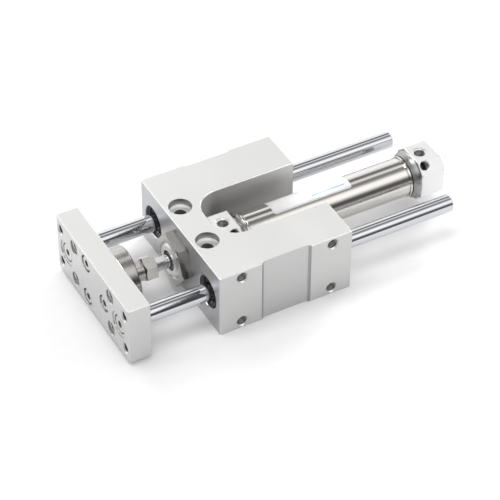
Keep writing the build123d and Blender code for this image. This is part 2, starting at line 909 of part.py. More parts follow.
def piston_pieces():
    front_groove = piston_front_face + piston_groove_inset
    rear_groove = piston_rear_face - piston_groove_inset - piston_groove_width
    wear_from = front_groove + piston_groove_width + wear_ring_inset + seat_gap
    wear_inner = bore_r - piston_play - wear_ring_height + seat_gap
    magnet_from = piston_front_face + piston_front_length
    hub_r = rivet_neck_diameter / 2 + seat_gap + magnet_hub_height
    magnet_outer = bore_r - piston_play - piston_groove_depth / 4
    return {
        "piston_front": piston_front(),
        "piston_rear": piston_rear(),
        "piston_magnet": ring(magnet_from, magnet_from + magnet_length, hub_r + seat_gap, magnet_outer),
        "piston_seal_front": piston_seal(front_groove, True),
        "piston_seal_rear": piston_seal(rear_groove, False),
        "piston_wear_ring": ring(wear_from, wear_from + wear_ring_width, wear_inner, bore_r - running_gap),
    }


def bearing_pieces():
    front_start = body_front + bearing_mouth_depth
    rear_start = body_rear - bearing_mouth_depth - bearing_length
    pieces = {}
    for side, y in (("left", guide_y), ("right", -guide_y)):
        for end, x_start in (("front", front_start), ("rear", rear_start)):
            label = f"{end}_{side}"
            pieces[f"bearing_sleeve_{label}"] = bearing_sleeve(x_start, y)
            pieces[f"bearing_cage_{label}"] = ball_cage(x_start, y)
            pieces[f"bearing_balls_{label}"] = ball_set(x_start, y)
            pieces[f"bearing_seals_{label}"] = bearing_seals(x_start, y)
    return pieces


nodes["guide_body"] = guide_body()
nodes["front_plate"] = front_plate()
nodes["guide_rod_left"] = guide_rod(guide_y)
nodes["guide_rod_right"] = guide_rod(-guide_y)
nodes["guide_rod_screws"] = guide_rod_screws()
nodes["joint_screws"] = joint_screws()
nodes["joint_housing"] = joint_housing()
nodes["joint_thrust_pad"] = rod(plate_rear - pad_thickness, plate_rear, pad_diameter / 2)
nodes["joint_stud"] = joint_stud()
nodes["rod_lock_nut"] = hex_nut(stud_rear, rod_nut_rear, rod_nut_width, piston_rod_r + seat_gap, 0.97, 22.0)
nodes["piston_rod"] = piston_rod()
nodes["mounting_nut"] = hex_nut(nut_front, body_front, nut_width, nose_r + seat_gap, 1.06, nut_turn)
nodes["front_cover"] = front_cover()
nodes["cylinder_tube"] = cylinder_tube()
nodes["rear_cover"] = rear_cover()
nodes["front_o_ring"] = o_ring(front_spigot_end, 1)
nodes["rear_o_ring"] = o_ring(rear_spigot_end, -1)
nodes["rod_bush"] = ring(bush_start(), bush_start() + bush_length, rod_hole_r, rod_hole_r + bush_wall)
nodes["rod_seal"] = lip_seal(
    bush_start(), rod_seal_start(), rod_hole_r, piston_rod_r + seal_pocket_height - seat_gap
)
nodes["rod_wiper"] = rod_wiper()
bumper_r = bore_r - bumper_margin
nodes["front_bumper"] = ring(front_spigot_end, front_spigot_end + bumper_thickness, chamber_r, bumper_r)
nodes["rear_bumper"] = ring(rear_spigot_end - bumper_thickness, rear_spigot_end, chamber_r, bumper_r)
nodes["retaining_rings"] = retaining_rings()
nodes.update(piston_pieces())
nodes.update(bearing_pieces())

os.makedirs("parts", exist_ok=True)
for name, shape in nodes.items():
    export_step(shape, f"parts/{name}.step")
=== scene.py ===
import math

import bmesh
import bpy
from mathutils import Matrix, Vector


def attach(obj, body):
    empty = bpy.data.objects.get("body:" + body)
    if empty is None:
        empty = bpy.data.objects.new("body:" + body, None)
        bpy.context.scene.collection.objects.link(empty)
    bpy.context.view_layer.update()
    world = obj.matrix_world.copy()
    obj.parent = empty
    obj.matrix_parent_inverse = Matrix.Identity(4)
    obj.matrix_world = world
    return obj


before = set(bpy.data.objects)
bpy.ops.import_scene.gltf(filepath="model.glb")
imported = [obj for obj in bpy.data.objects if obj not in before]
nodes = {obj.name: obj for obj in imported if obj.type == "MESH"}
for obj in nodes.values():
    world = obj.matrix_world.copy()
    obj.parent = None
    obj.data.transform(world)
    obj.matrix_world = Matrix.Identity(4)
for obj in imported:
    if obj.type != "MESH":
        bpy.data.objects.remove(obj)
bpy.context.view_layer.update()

# Camera
# A product shot from high on the left front: the plate is near, the cylinder
# runs away to the upper right. A long lens keeps the edges close to parallel.
SENSOR_MM = 36
LENS_MM = 152.27
CLIP_NEAR = 0.05
CLIP_FAR = 50
CAMERA_BACK = Vector((-0.36016, -0.65124, 0.66796))
CAMERA_RIGHT = Vector((0.87649, -0.48141, 0.00323))
CAMERA_UP = Vector((0.31946, 0.58662, 0.74419))
CAMERA_AIM = Vector((0.024428, -0.005845, 0.011247))
CAMERA_DISTANCE = 0.92441


def put(name, data):
    """New object of that mesh, light or camera, linked to the scene."""
    thing = bpy.data.objects.new(name, data)
    bpy.context.scene.collection.objects.link(thing)
    return thing


lens = bpy.data.cameras.new("product_camera")
lens.lens = LENS_MM
lens.sensor_width = SENSOR_MM
lens.clip_start = CLIP_NEAR
lens.clip_end = CLIP_FAR
camera = put("product_camera", lens)
turn = Matrix((CAMERA_RIGHT, CAMERA_UP, CAMERA_BACK)).transposed().to_4x4()
camera.matrix_world = Matrix.Translation(CAMERA_AIM + CAMERA_DISTANCE * CAMERA_BACK) @ turn
bpy.context.scene.camera = camera
bpy.context.scene.view_settings.view_transform = "Standard"

# Studio tent
# Soft panels stand all round. They are darker in stripes that run along the
# cylinder, so that ground rods show long clean bands.
# Each stripe: (share of the half circle over the part, brightness).
TENT_STRIPES = (
    (0.000, 1.15),
    (0.060, 1.40),
    (0.110, 1.60),
    (0.160, 1.35),
    (0.225, 1.08),
    (0.290, 0.26),
    (0.340, 0.09),
    (0.385, 0.75),
    (0.430, 1.30),
    (0.470, 0.45),
    (0.515, 0.20),
    (0.560, 0.35),
    (0.600, 0.75),
    (0.640, 1.45),
    (0.690, 1.60),
    (0.745, 1.60),
    (0.785, 1.25),
    (0.825, 0.60),
    (0.865, 0.14),
    (0.905, 0.03),
    (0.950, 0.07),
    (0.985, 0.20),
)
TENT_BRIGHTEST = 1.6
# The ends, from in front of the plate to behind the cylinder, as a share of the brightest stripe.
TENT_ENDS = ((0.0, 0.22), (0.3, 0.22), (0.6, 0.45), (1.0, 0.50))
TENT_END_FADE = 2.5


def shader_node(tree, kind, **settings):
    """New node; plain attributes by name, sockets by name or index through the inputs dictionary."""
    node = tree.nodes.new(kind)
    for socket, value in settings.pop("inputs", {}).items():
        if isinstance(value, bpy.types.NodeSocket):
            tree.links.new(value, node.inputs[socket])
        else:
            node.inputs[socket].default_value = value
    for attribute, value in settings.items():
        setattr(node, attribute, value)
    return node


def number(tree, operation, *values):
    """Output of a Math node."""
    inputs = dict(enumerate(values))
    return shader_node(tree, "ShaderNodeMath", operation=operation, inputs=inputs).outputs[0]


def xyz(tree, vector):
    """The three parts of a vector."""
    return shader_node(tree, "ShaderNodeSeparateXYZ", inputs={0: vector}).outputs


def ramp(tree, factor, stops):
    """Colour ramp from (place, grey) or (place, (r, g, b)) stops."""
    node = shader_node(tree, "ShaderNodeValToRGB", inputs={0: factor})
    node.color_ramp.interpolation = "EASE"
    elements = node.color_ramp.elements
    while len(elements) < len(stops):
        elements.new(1.0)
    for element, (place, tone) in zip(elements, stops):
        element.position = place
        element.color = (tone, tone, tone, 1) if isinstance(tone, float) else (*tone, 1)
    return node.outputs["Color"]


def mix_tone(tree, factor, first, second):
    """Colour between first and second, each a colour or a socket."""
    first = first if isinstance(first, bpy.types.NodeSocket) else (*first, 1)
    second = second if isinstance(second, bpy.types.NodeSocket) else (*second, 1)
    inputs = {0: factor, 6: first, 7: second}
    return shader_node(tree, "ShaderNodeMix", data_type="RGBA", inputs=inputs).outputs[2]


tent = bpy.data.worlds.new("studio_tent")
tent.use_nodes = True
tree = tent.node_tree
tree.nodes.clear()
way_x, way_y, way_z = xyz(tree, shader_node(tree, "ShaderNodeTexCoord").outputs["Generated"])
angle = number(tree, "ARCTAN2", number(tree, "MAXIMUM", way_z, 0.0), way_y)
stops = [(share, brightness / TENT_BRIGHTEST) for share, brightness in TENT_STRIPES]
stripe = ramp(tree, number(tree, "DIVIDE", angle, math.pi), stops)
end_tones = ramp(tree, number(tree, "MULTIPLY_ADD", way_x, 0.5, 0.5), TENT_ENDS)
end_on = number(tree, "POWER", number(tree, "ABSOLUTE", way_x), TENT_END_FADE)
tone = mix_tone(tree, end_on, stripe, end_tones)
glow = shader_node(tree, "ShaderNodeBackground", inputs={"Color": tone, "Strength": TENT_BRIGHTEST})
shader_node(tree, "ShaderNodeOutputWorld", inputs={"Surface": glow.outputs[0]})
bpy.context.scene.world = tent

# Studio floor
# A sheet of white matt paper, lit a little from below so that it stays white
# round the part.
FLOOR_HALF = 3.0
FLOOR_WHITE = (0.90, 0.90, 0.905)
FLOOR_SHADE = (0.885, 0.885, 0.89)
FLOOR_GLOW = 0.05
FIBRE_SCALE = 180.0
PAPER_ROUGHNESS = 0.9
PAPER_SHINE = 0.1
NOISE_LOW = 0.3
NOISE_HIGH = 0.7
WHITE = (1, 1, 1, 1)


def noise(tree, place, scale, detail):
    """Noise that keeps to NOISE_LOW..NOISE_HIGH nearly everywhere."""
    inputs = {"Vector": place, "Scale": scale, "Detail": detail}
    return shader_node(tree, "ShaderNodeTexNoise", inputs=inputs).outputs["Fac"]


floor_mesh = bpy.data.meshes.new("floor")
floor_corners = [(x * FLOOR_HALF, y * FLOOR_HALF, 0) for x, y in ((-1, -1), (1, -1), (1, 1), (-1, 1))]
floor_mesh.from_pydata(floor_corners, [], [(0, 1, 2, 3)])
floor = put("floor", floor_mesh)
paper = bpy.data.materials.new("white_paper")
paper.use_nodes = True
tree = paper.node_tree
shader = tree.nodes["Principled BSDF"]
sheet = shader_node(tree, "ShaderNodeTexCoord").outputs["Object"]
fibre = noise(tree, sheet, FIBRE_SCALE, detail=3.0)
paper_tone = ramp(tree, fibre, [(NOISE_LOW, FLOOR_SHADE), (NOISE_HIGH, FLOOR_WHITE)])
tree.links.new(paper_tone, shader.inputs["Base Color"])
shader.inputs["Roughness"].default_value = PAPER_ROUGHNESS
shader.inputs["Specular IOR Level"].default_value = PAPER_SHINE
shader.inputs["Emission Color"].default_value = WHITE
shader.inputs["Emission Strength"].default_value = FLOOR_GLOW
floor_mesh.materials.append(paper)

# Studio lights
# Two large panels stand high on the far side, left and right, and a smaller
# one hangs over the plate.
PART_MIDDLE = Vector((0.03, 0, 0))


def soft_panel(name, place, width, depth, power):
    """Rectangular soft light that faces the part."""
    light = bpy.data.lights.new(name, "AREA")
    light.shape = "RECTANGLE"
    light.size = width
    light.size_y = depth
    light.energy = power
    panel = put(name, light)
    panel.location = place
    panel.rotation_euler = (PART_MIDDLE - Vector(place)).to_track_quat("-Z", "Y").to_euler()


soft_panel("left_key_panel", (0.10, 1.70, 2.04), width=1.24, depth=1.3, power=9.0)
soft_panel("right_key_panel", (2.00, 1.14, 1.38), width=0.9, depth=0.9, power=25.0)
soft_panel("top_panel", (-0.26, 0.10, 1.35), width=0.5, depth=1.0, power=6.0)

# Black strip
# A narrow strip of black felt arches from overhead down to the near side,
# well past the rear end and out of view. The rods between plate and block
# mirror it as a dark band.
STRIP_RADIUS = 1.13
STRIP_START = 80
STRIP_END = 165
STRIP_STEPS = 16
STRIP_FRONT = 0.385
STRIP_WIDENS = 0.070
STRIP_REAR = 0.445
FELT_BLACK = (0.02, 0.02, 0.02, 1)
FELT_TINT = (0.94, 0.96, 1.0, 1)
FELT_GLOW = 0.04

strip_points = []
for step in range(STRIP_STEPS + 1):
    share = step / STRIP_STEPS
    bend = math.radians(STRIP_START + (STRIP_END - STRIP_START) * share)
    for along in (STRIP_FRONT - STRIP_WIDENS * share, STRIP_REAR):
        strip_points.append((along, STRIP_RADIUS * math.cos(bend), STRIP_RADIUS * math.sin(bend)))
strip_faces = [(2 * i, 2 * i + 1, 2 * i + 3, 2 * i + 2) for i in range(STRIP_STEPS)]
strip_mesh = bpy.data.meshes.new("black_strip")
strip_mesh.from_pydata(strip_points, [], strip_faces)
strip = put("black_strip", strip_mesh)
felt = bpy.data.materials.new("black_felt")
felt.use_nodes = True
shader = felt.node_tree.nodes["Principled BSDF"]
shader.inputs["Base Color"].default_value = FELT_BLACK
shader.inputs["Roughness"].default_value = 1.0
shader.inputs["Emission Color"].default_value = FELT_TINT
shader.inputs["Emission Strength"].default_value = FELT_GLOW
strip_mesh.materials.append(felt)

# Guide block and front plate
# Both are milled from aluminium bar, bead blasted and anodised in a natural
# silver. Chamfers, screw seats and tapped holes are smoother. Light and shade
# are painted into the colour: painted highlights on chamfers and seat floors,
# painted shade in holes, bores, seat walls and the side pocket, and on the
# block's end faces and the plate's top.
BLOCK_GREY = (0.610, 0.610, 0.603)
# End faces of the block: painted shade, darker and a little bluer than its top and sides.
BLOCK_END_PAINTED_SHADE = (0.530, 0.534, 0.545)
# The plate is painted darker than the block, all but its upright faces, which keep the plate face grey:
# painted shade on its top.
PLATE_PAINTED_SHADE = (0.560, 0.560, 0.553)
PLATE_FACE_GREY = (0.615, 0.615, 0.610)
# Floor of the side pocket: painted shade, a little darker than the faces round it.
RECESS_PAINTED_SHADE = (0.565, 0.565, 0.560)
# Curved walls at the ends of the side pocket: a painted shade line, dark.
RUN_OUT_PAINTED_SHADE = (0.36, 0.36, 0.365)
# Chamfers: a painted highlight, near white.
CHAMFER_PAINTED_HIGHLIGHT = (0.93, 0.93, 0.925)
# Cap screw seats: painted shade on the upper wall, a painted highlight on the floor and the lowest part of
# the wall.
SEAT_WALL_PAINTED_SHADE = (0.34, 0.34, 0.34)
SEAT_FLOOR_PAINTED_HIGHLIGHT = (0.92, 0.92, 0.915)
# Tapped holes of block, plate and covers: painted shade, near black.
HOLE_PAINTED_SHADE = (0.17, 0.17, 0.172)
# Guide rod bores of the block: painted shade, dark.
BORE_PAINTED_SHADE = (0.22, 0.22, 0.225)
# Through holes under the cap screws and wide holes of the plate: painted shade, a little darker.
OPEN_HOLE_PAINTED_SHADE = (0.55, 0.55, 0.55)
CLOUD_GREY = (0.4, 0.4, 0.4)
CLOUD_SHARE = 0.04

# Where things are: the two axes, the faces of block and plate, and their holes.
AXIS_Z = 0.0164
GUIDE_Y = 0.0255
BODY_HALF = 0.03675
BODY_TOP = 0.0325
PLATE_FRONT = -0.0488
PLATE_REAR = -0.0383
BEHIND_PLATE = -0.02
CAP_SCREW_Y = 0.0125
CAP_SEAT_FLOOR = 0.0284
# Top of the painted highlight band in the cap screw seats.
CAP_SEAT_HIGHLIGHT_TOP = 0.0293
SIDE_HOLES_X = 0.0258
SIDE_HOLES_HALF_X = 0.0220
SIDE_HOLES_HALF_Z = 0.0125
SIDE_HOLES_BOTTOM = 0.027
PLATE_HOLES_HALF_Z = 0.009
CORNER_HOLE_Y = 0.0310
INNER_HOLE_Y = 0.0175
RECESS_X = 0.02525
RECESS_HALF = 0.0125
RECESS_FLOOR = 0.03555
RECESS_FLOOR_REACH = 0.0003
RUN_OUT_INNER = 0.0353

# A mask reaches a little past the hole's own radius, and a little short of the outer face.
CAP_SEAT_REACH = 0.0054
CAP_HOLE_REACH = 0.0029
M5_REACH = 0.00225
M8_REACH = 0.0036
GUIDE_BORE_REACH = 0.0077
FACE_SKIN = 0.0001

# How squarely a face looks along an axis: 1 is square, 0 is edge-on. A pair
# is the middle of a slant and how far it may be off.
SQUARE = 0.9
EDGE_ON = 0.05
CHAMFER = (0.707, 0.05)
RUN_OUT_SLANT = (0.76, 0.17)

BLASTED_ROUGHNESS = (0.37, 0.43)
GRAIN_ROUGHNESS = 0.03
BARE_SMOOTHER = 0.22
BARE_CHAMFER = 0.75
BARE_SEAT = 0.2
CLOUD_SCALE = 45.0
GRAIN_SCALE = 3200.0
GRAIN_STRENGTH = 0.10
GRAIN_DEPTH = 0.00006
MILLED_EDGE = 0.00018


def new_finish(name, **sockets):
    """Principled material with these sockets set; returns the material, its tree and its shader."""
    material = bpy.data.materials.new(name)
    material.use_nodes = True
    tree = material.node_tree
    shader = tree.nodes["Principled BSDF"]
    for socket, value in sockets.items():
        shader.inputs[socket].default_value = value
    return material, tree, shader


def place_on_part(tree):
    """The point in the part's frame."""
    return shader_node(tree, "ShaderNodeTexCoord").outputs["Object"]


def squareness(tree):
    """How squarely the face looks along x, y and z, either way."""
    normal = shader_node(tree, "ShaderNodeNewGeometry").outputs["True Normal"]
    return [number(tree, "ABSOLUTE", part) for part in xyz(tree, normal)]


def spread(tree, value, low, high):
    """Maps a noise to low..high."""
    inputs = {0: value, 1: NOISE_LOW, 2: NOISE_HIGH, 3: low, 4: high}
    return shader_node(tree, "ShaderNodeMapRange", inputs=inputs).outputs[0]


def over(tree, value, limit):
    """1 where the value is over the limit, else 0."""
    return number(tree, "GREATER_THAN", value, limit)


def under(tree, value, limit):
    """1 where the value is under the limit, else 0."""
    return number(tree, "LESS_THAN", value, limit)


def close_to(tree, value, middle, reach):
    """1 where the value is within reach of the middle, else 0."""
    return number(tree, "COMPARE", value, middle, reach)


def all_of(tree, *masks):
    """1 where every mask is 1."""
    joined = masks[0]
    for mask in masks[1:]:
        joined = number(tree, "MULTIPLY", joined, mask)
    return joined


def any_of(tree, *masks):
    """The highest of the masks."""
    joined = masks[0]
    for mask in masks[1:]:
        joined = number(tree, "MAXIMUM", joined, mask)
    return joined


def folded(tree, value, middle):
    """Distance from a middle line, the same on both sides of it."""
    return number(tree, "ABSOLUTE", number(tree, "SUBTRACT", value, middle))


def length_of(tree, across, high):
    """Distance from the point where both values are 0."""
    squares = [number(tree, "POWER", value, 2.0) for value in (across, high)]
    return number(tree, "SQRT", number(tree, "ADD", *squares))


def round_hole(tree, across, high, radius):
    """1 within a radius of the point where both values are 0."""
    return under(tree, length_of(tree, across, high), radius)


def relief(tree, shader, height, strength, depth, edge=None):
    """Bump from a height; where an edge radius is given, sharp edges are rounded by it."""
    inputs = {"Height": height, "Strength": strength, "Distance": depth}
    if edge:
        rounded = shader_node(tree, "ShaderNodeBevel", samples=4, inputs={"Radius": edge})
        inputs["Normal"] = rounded.outputs[0]
    bump = shader_node(tree, "ShaderNodeBump", inputs=inputs).outputs[0]
    tree.links.new(bump, shader.inputs["Normal"])


def dress(material, *names):
    """Puts a material into every slot of these nodes."""
    for name in names:
        for material_slot in nodes[name].material_slots:
            material_slot.material = material


anodised, tree, shader = new_finish("anodised_aluminium", Metallic=0.82)
place = place_on_part(tree)
along, side, high = xyz(tree, place)
end_facing, side_facing, top_facing = squareness(tree)
arm = number(tree, "ABSOLUTE", side)
on_block = over(tree, along, BEHIND_PLATE)
on_plate = under(tree, along, BEHIND_PLATE)

from_cap_screw = folded(tree, arm, CAP_SCREW_Y)
cap_seat = all_of(
    tree,
    under(tree, high, BODY_TOP - FACE_SKIN),
    round_hole(tree, along, from_cap_screw, CAP_SEAT_REACH),
)
# Painted highlight low in the seat, painted shade on the wall above.
cap_seat_painted_light = mix_tone(tree, over(tree, high, CAP_SEAT_HIGHLIGHT_TOP), SEAT_FLOOR_PAINTED_HIGHLIGHT, SEAT_WALL_PAINTED_SHADE)
cap_hole = all_of(
    tree,
    under(tree, high, CAP_SEAT_FLOOR - FACE_SKIN),
    round_hole(tree, along, from_cap_screw, CAP_HOLE_REACH),
)

side_hole_across = folded(tree, folded(tree, along, SIDE_HOLES_X), SIDE_HOLES_HALF_X)
side_hole_rise = folded(tree, folded(tree, high, BODY_TOP / 2), SIDE_HOLES_HALF_Z)
side_hole = all_of(
    tree,
    under(tree, arm, BODY_HALF - FACE_SKIN),
    over(tree, arm, SIDE_HOLES_BOTTOM),
    round_hole(tree, side_hole_across, side_hole_rise, M5_REACH),
)

in_plate = all_of(
    tree,
    over(tree, along, PLATE_FRONT + FACE_SKIN),
    under(tree, along, PLATE_REAR - FACE_SKIN),
)
plate_rise = folded(tree, folded(tree, high, AXIS_Z), PLATE_HOLES_HALF_Z)
corner_hole = round_hole(tree, folded(tree, arm, CORNER_HOLE_Y), plate_rise, M5_REACH)
inner_hole = round_hole(tree, folded(tree, arm, INNER_HOLE_Y), plate_rise, M8_REACH)
tapped_hole = any_of(tree, side_hole, all_of(tree, in_plate, corner_hole))
open_hole = any_of(tree, cap_hole, all_of(tree, in_plate, inner_hole))

guide_rise = number(tree, "SUBTRACT", high, AXIS_Z)
guide_bore = all_of(
    tree,
    on_block,
    round_hole(tree, folded(tree, arm, GUIDE_Y), guide_rise, GUIDE_BORE_REACH),
)

chamfer = close_to(tree, top_facing, *CHAMFER)
block_end = all_of(tree, on_block, over(tree, end_facing, SQUARE))
plate_face = all_of(tree, on_plate, under(tree, top_facing, EDGE_ON))
recess = all_of(
    tree,
    close_to(tree, arm, RECESS_FLOOR, RECESS_FLOOR_REACH),
    over(tree, side_facing, SQUARE),
)
run_out = all_of(
    tree,
    close_to(tree, side_facing, *RUN_OUT_SLANT),
    under(tree, top_facing, EDGE_ON),
    under(tree, folded(tree, along, RECESS_X), RECESS_HALF),
    over(tree, arm, RUN_OUT_INNER),
)

cloud = noise(tree, place, CLOUD_SCALE, detail=3.0)
grain = noise(tree, place, GRAIN_SCALE, detail=2.0)
# The plate's top is painted darker: painted shade.
silver = mix_tone(tree, on_plate, BLOCK_GREY, PLATE_PAINTED_SHADE)
silver = mix_tone(tree, spread(tree, cloud, 0.0, CLOUD_SHARE), silver, CLOUD_GREY)
for mask, tone in (
    (block_end, BLOCK_END_PAINTED_SHADE),
    (plate_face, PLATE_FACE_GREY),
    (recess, RECESS_PAINTED_SHADE),
    (chamfer, CHAMFER_PAINTED_HIGHLIGHT),
    (run_out, RUN_OUT_PAINTED_SHADE),
    (cap_seat, cap_seat_painted_light),
    (tapped_hole, HOLE_PAINTED_SHADE),
    (open_hole, OPEN_HOLE_PAINTED_SHADE),
    (guide_bore, BORE_PAINTED_SHADE),
):
    silver = mix_tone(tree, mask, silver, tone)
tree.links.new(silver, shader.inputs["Base Color"])

bare_chamfer = number(tree, "MULTIPLY", chamfer, BARE_CHAMFER)
bare_seat = number(tree, "MULTIPLY", cap_seat, BARE_SEAT)
bare = any_of(tree, bare_chamfer, bare_seat, tapped_hole)
grain_roughness = spread(tree, grain, -GRAIN_ROUGHNESS, GRAIN_ROUGHNESS)
blasted = number(tree, "ADD", grain_roughness, spread(tree, cloud, *BLASTED_ROUGHNESS))
smoothed = number(tree, "SUBTRACT", blasted, number(tree, "MULTIPLY", bare, BARE_SMOOTHER))
tree.links.new(smoothed, shader.inputs["Roughness"])
relief(tree, shader, grain, GRAIN_STRENGTH, GRAIN_DEPTH, MILLED_EDGE)
dress(anodised, "guide_body", "front_plate")

# Cylinder covers
# Turned and milled from aluminium bar and left bright, with tool marks on the
# turned ends. Each has an air port on top and a tapped hole in its bevel. The
# band round each collar and the two holes are painted dark: painted shade.
COVER_MIDDLE = 0.0645
COLLAR_FROM_MIDDLE = 0.0432
COLLAR_HALF = 0.0019
# Collar band of each cover: painted shade, dark.
COLLAR_PAINTED_SHADE = (0.36, 0.36, 0.355)
HOLES_MIDDLE = 0.06425
PORT_FROM_MIDDLE = 0.05015
PORT_TOP = 0.0266
BEVEL_HOLE_FROM_MIDDLE = 0.04825
BEVEL_HOLE_LINE = 0.01781
BEVEL_FACE = 0.0322
COVER_HOLE_REACH = 0.0024
LATHE_LINES = 5200.0
LATHE_DEPTH = 0.00003
TURNED_END = 0.25
TURNED_EDGE = 0.00015
TURNED_CLOUD = 60.0
LINE_SHARE = 0.25
CLOUD_SHARES = (0.9, 1.1)
DIAGONAL = math.sqrt(0.5)


def lathe_place(tree, half_spacing=0.0):
    """(x, distance from the turning axis, 0); pieces at both guide rods share half_spacing."""
    along, side, high = xyz(tree, place_on_part(tree))
    across = number(tree, "SUBTRACT", number(tree, "ABSOLUTE", side), half_spacing)
    rise = number(tree, "SUBTRACT", high, AXIS_Z)
    inputs = {0: along, 1: length_of(tree, across, rise)}
    return shader_node(tree, "ShaderNodeCombineXYZ", inputs=inputs).outputs[0]


def turned_metal(
    name, light, dark, roughness, marks,
    half_spacing=0.0, edge=TURNED_EDGE, cloud_scale=TURNED_CLOUD, ends_only=False,
):
    """Metal with tool marks round the X direction, on its end faces alone where ends_only is set."""
    material, tree, shader = new_finish(name, Metallic=1.0)
    lines = noise(tree, lathe_place(tree, half_spacing), LATHE_LINES, detail=1.0)
    if ends_only:
        turned_end = over(tree, squareness(tree)[0], TURNED_END)
        lines = number(tree, "MULTIPLY_ADD", number(tree, "SUBTRACT", lines, 0.5), turned_end, 0.5)
    cloud = noise(tree, place_on_part(tree), cloud_scale, detail=3.0)
    tree.links.new(mix_tone(tree, spread(tree, cloud, 0.0, 1.0), dark, light), shader.inputs["Base Color"])
    line_roughness = spread(tree, lines, -LINE_SHARE * roughness, LINE_SHARE * roughness)
    cloud_roughness = spread(tree, cloud, *[share * roughness for share in CLOUD_SHARES])
    worn = number(tree, "ADD", line_roughness, cloud_roughness)
    tree.links.new(worn, shader.inputs["Roughness"])
    relief(tree, shader, lines, marks, LATHE_DEPTH, edge)
    return material


covers = turned_metal(
    "bright_cover_aluminium", light=(0.785, 0.785, 0.78), dark=(0.755, 0.755, 0.75),
    roughness=0.30, marks=0.05, ends_only=True,
)
tree = covers.node_tree
shader = tree.nodes["Principled BSDF"]
along, side, high = xyz(tree, place_on_part(tree))
collar = close_to(tree, folded(tree, along, COVER_MIDDLE), COLLAR_FROM_MIDDLE, COLLAR_HALF)
from_middle = folded(tree, along, HOLES_MIDDLE)
port = all_of(
    tree,
    under(tree, high, PORT_TOP),
    round_hole(tree, folded(tree, from_middle, PORT_FROM_MIDDLE), side, COVER_HOLE_REACH),
)
down_bevel = number(tree, "SUBTRACT", number(tree, "ADD", side, high), BEVEL_HOLE_LINE)
down_bevel = number(tree, "MULTIPLY", down_bevel, DIAGONAL)
bevel_hole = all_of(
    tree,
    under(tree, number(tree, "SUBTRACT", high, side), BEVEL_FACE),
    round_hole(tree, folded(tree, from_middle, BEVEL_HOLE_FROM_MIDDLE), down_bevel, COVER_HOLE_REACH),
)
bright = shader.inputs["Base Color"].links[0].from_socket
# Painted shade: the collar band, then the port and the bevel hole.
bright = mix_tone(tree, collar, bright, COLLAR_PAINTED_SHADE)
bright = mix_tone(tree, any_of(tree, port, bevel_hole), bright, HOLE_PAINTED_SHADE)
tree.links.new(bright, shader.inputs["Base Color"])
dress(covers, "front_cover", "rear_cover")

# Piston
# Two halves turned from aluminium bar. They are riveted to the end of the
# piston rod with the ring magnet between them.
piston_metal = turned_metal(
    "piston_aluminium", light=(0.74, 0.74, 0.73), dark=(0.69, 0.69, 0.68), roughness=0.28, marks=0.06,
)
dress(piston_metal, "piston_front", "piston_rear")

# Cylinder tube
# Drawn stainless tube, polished, with a rolled lip and a crimp line over each
# cover.
tube = turned_metal(
    "polished_stainless", light=(0.68, 0.66, 0.635), dark=(0.65, 0.63, 0.605), roughness=0.10, marks=0.03,
)
dress(tube, "cylinder_tube")

# Guide rods and piston rod
# Bearing steel, hardened, hard chromed and ground to a mirror. The wrench
# flats of the piston rod are milled and duller.
PISTON_ROD_RADIUS = 0.0030
FLAT_SKIN = 0.00004
FLAT_DULLER = 0.30

chrome = turned_metal(
    "hard_chrome", light=(0.62, 0.625, 0.65), dark=(0.60, 0.605, 0.63),
    roughness=0.06, marks=0.02, half_spacing=GUIDE_Y,
)
dress(chrome, "guide_rod_left", "guide_rod_right")
rod_chrome = turned_metal(
    "piston_rod_chrome", light=(0.62, 0.62, 0.635), dark=(0.60, 0.60, 0.615), roughness=0.09, marks=0.02,
)
tree = rod_chrome.node_tree
shader = tree.nodes["Principled BSDF"]
from_axis = xyz(tree, lathe_place(tree))["Y"]
milled = under(tree, from_axis, PISTON_ROD_RADIUS - FLAT_SKIN)
ground = shader.inputs["Roughness"].links[0].from_socket
dulled = number(tree, "ADD", ground, number(tree, "MULTIPLY", milled, FLAT_DULLER))
tree.links.new(dulled, shader.inputs["Roughness"])
dress(rod_chrome, "piston_rod")

# Floating joint
# Turned steel flange, stud and thrust pad, left with their lathe finish. The
# flange is screwed to the plate, and the stud to the piston rod.
joint_steel = turned_metal(
    "turned_joint_steel", light=(0.47, 0.455, 0.435), dark=(0.43, 0.415, 0.395), roughness=0.18, marks=0.06,
)
dress(joint_steel, "joint_housing", "joint_stud", "joint_thrust_pad")

# Nuts
# Cold formed steel with a thin nickel plate. The wide nut that holds the
# cylinder in the block is painted darker than the small lock nut of the
# piston rod: painted shade.
NUT_EDGE = 0.00006

# The wide nut: the same plate painted darker, painted shade.
nickel = turned_metal(
    "nickel_plated_steel_painted_shade", light=(0.47, 0.46, 0.435), dark=(0.44, 0.43, 0.405),
    roughness=0.25, marks=0.05, edge=NUT_EDGE, ends_only=True,
)
dress(nickel, "mounting_nut")
lock_nickel = turned_metal(
    "nickel_plated_lock_nut", light=(0.63, 0.62, 0.585), dark=(0.60, 0.59, 0.555),
    roughness=0.27, marks=0.05, edge=NUT_EDGE, ends_only=True,
)
dress(lock_nickel, "rod_lock_nut")

# Socket screws
# Cold headed stainless screws with their forged key seats. Two hold the guide
# rods to the plate, and three hold the floating joint.
SCREW_CLOUD = 400.0

screw = turned_metal(
    "screw_steel", light=(0.60, 0.59, 0.575), dark=(0.54, 0.53, 0.515),
    roughness=0.30, marks=0.20, cloud_scale=SCREW_CLOUD,
)
dress(screw, "guide_rod_screws", "joint_screws")

# Linear bearings
# Hardened sleeves with steel balls in moulded cages and rubber end seals,
# held in the block by spring rings.
POLYMER_GRAIN = 900.0
POLYMER_MARKS = 0.12
POLYMER_DEPTH = 0.00004
POLYMER_SHARES = (0.85, 1.15)


